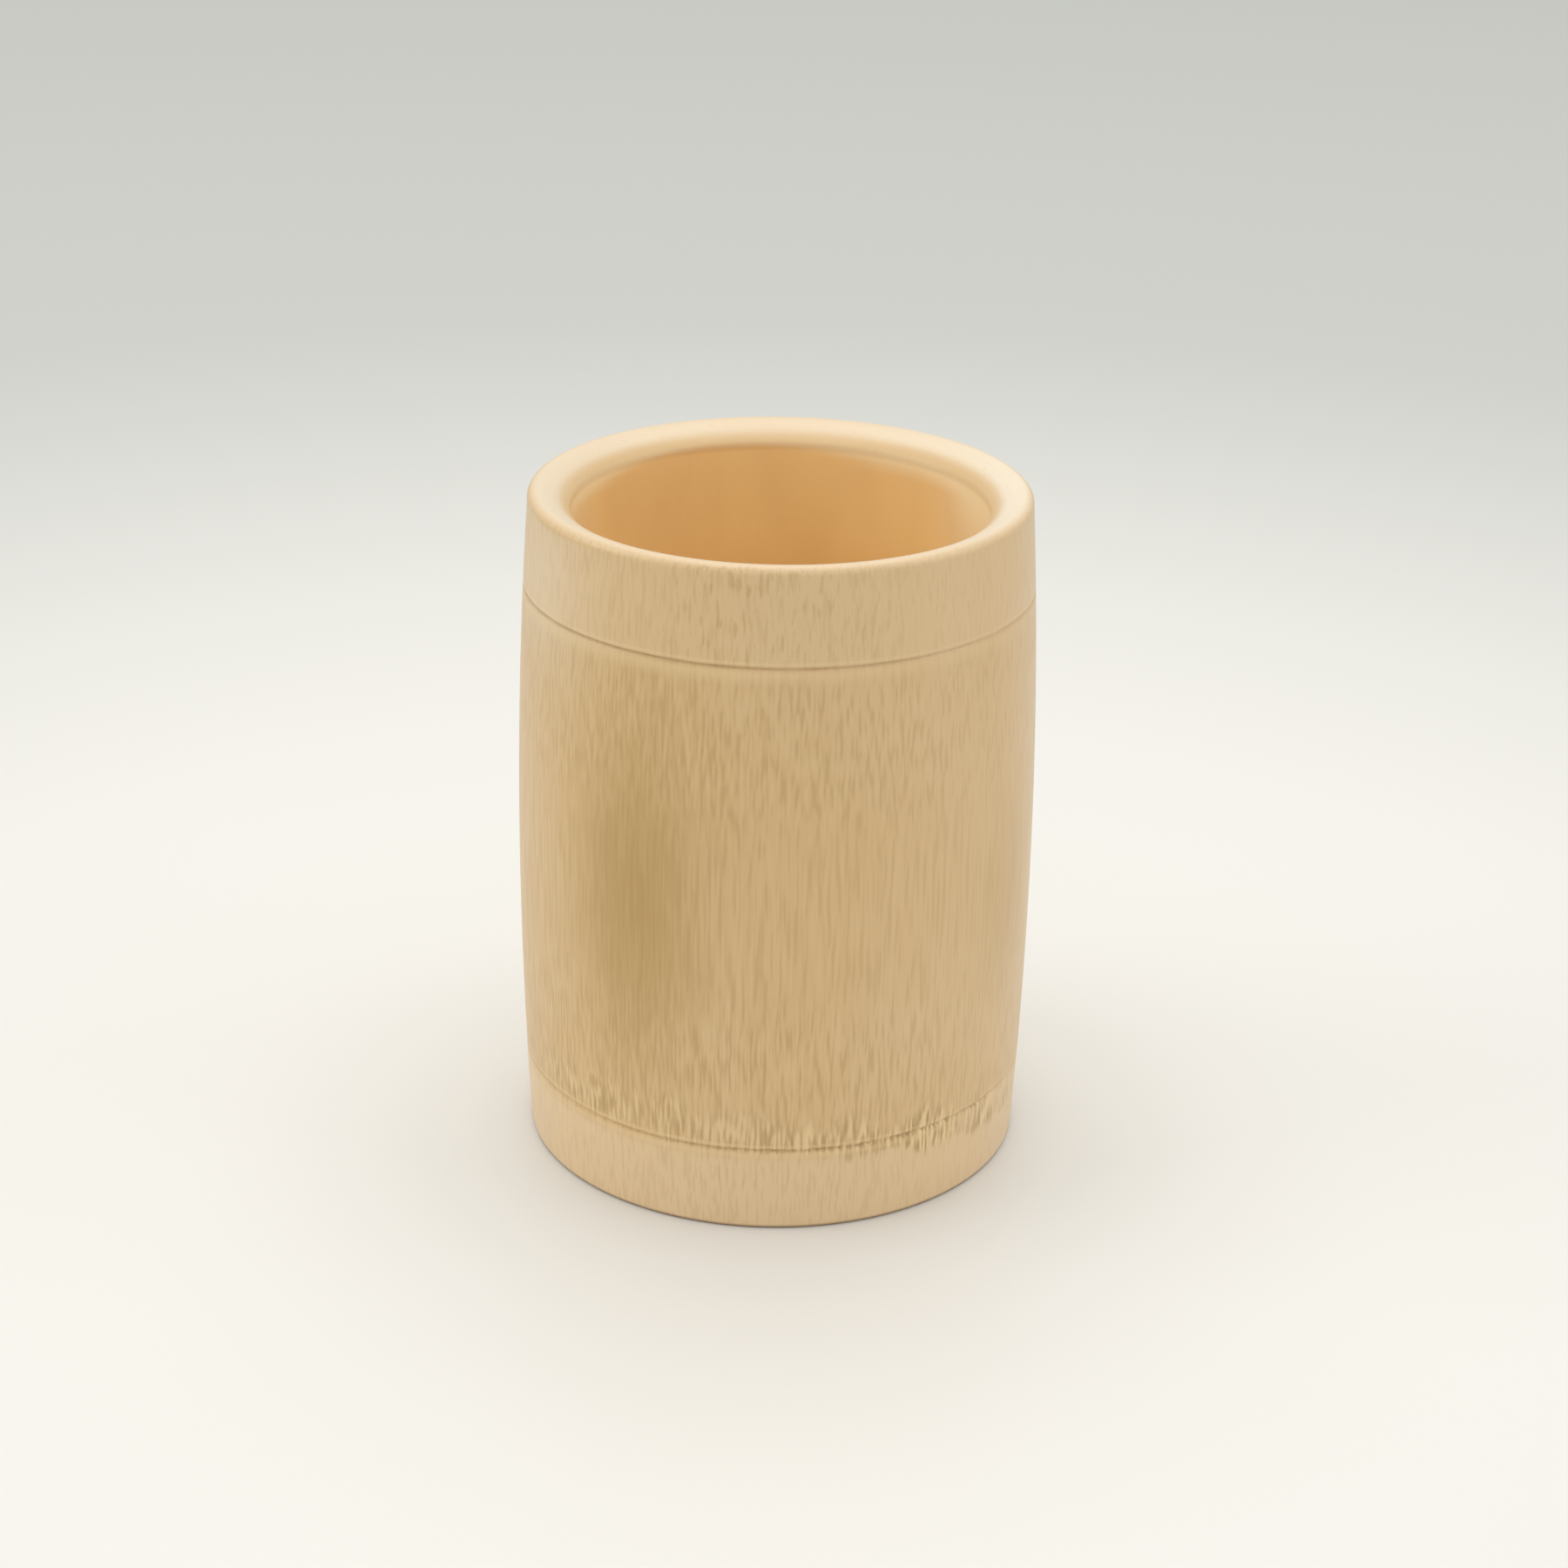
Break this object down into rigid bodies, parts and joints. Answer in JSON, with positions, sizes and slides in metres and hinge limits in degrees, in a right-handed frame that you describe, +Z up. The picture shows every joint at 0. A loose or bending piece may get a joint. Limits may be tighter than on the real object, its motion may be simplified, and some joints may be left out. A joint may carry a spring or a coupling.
{
  "type": "bamboo cup",
  "caption": "Handleless drinking cup turned from natural bamboo culm: slight barrel, rounded lip, scored lines, and the culm's own node as its floor above a hollow foot.",
  "frame": {"origin": "middle of the plane that the foot ring stands on", "axes": "+Z up along the cup's axis, -Y towards the side that the picture shows, +X to its right"},
  "size_m": [0.086, 0.086, 0.113],
  "materials": {
    "bamboo_culm": "natural bamboo, turned and sanded, thin clear satin varnish",
    "bamboo_node": "natural bamboo node tissue, turned on top, raw underneath, thin clear varnish"
  },
  "bodies": {
    "root": {"culm_wall": "bamboo_culm", "node_diaphragm": "bamboo_node"}
  },
  "joints": []
}
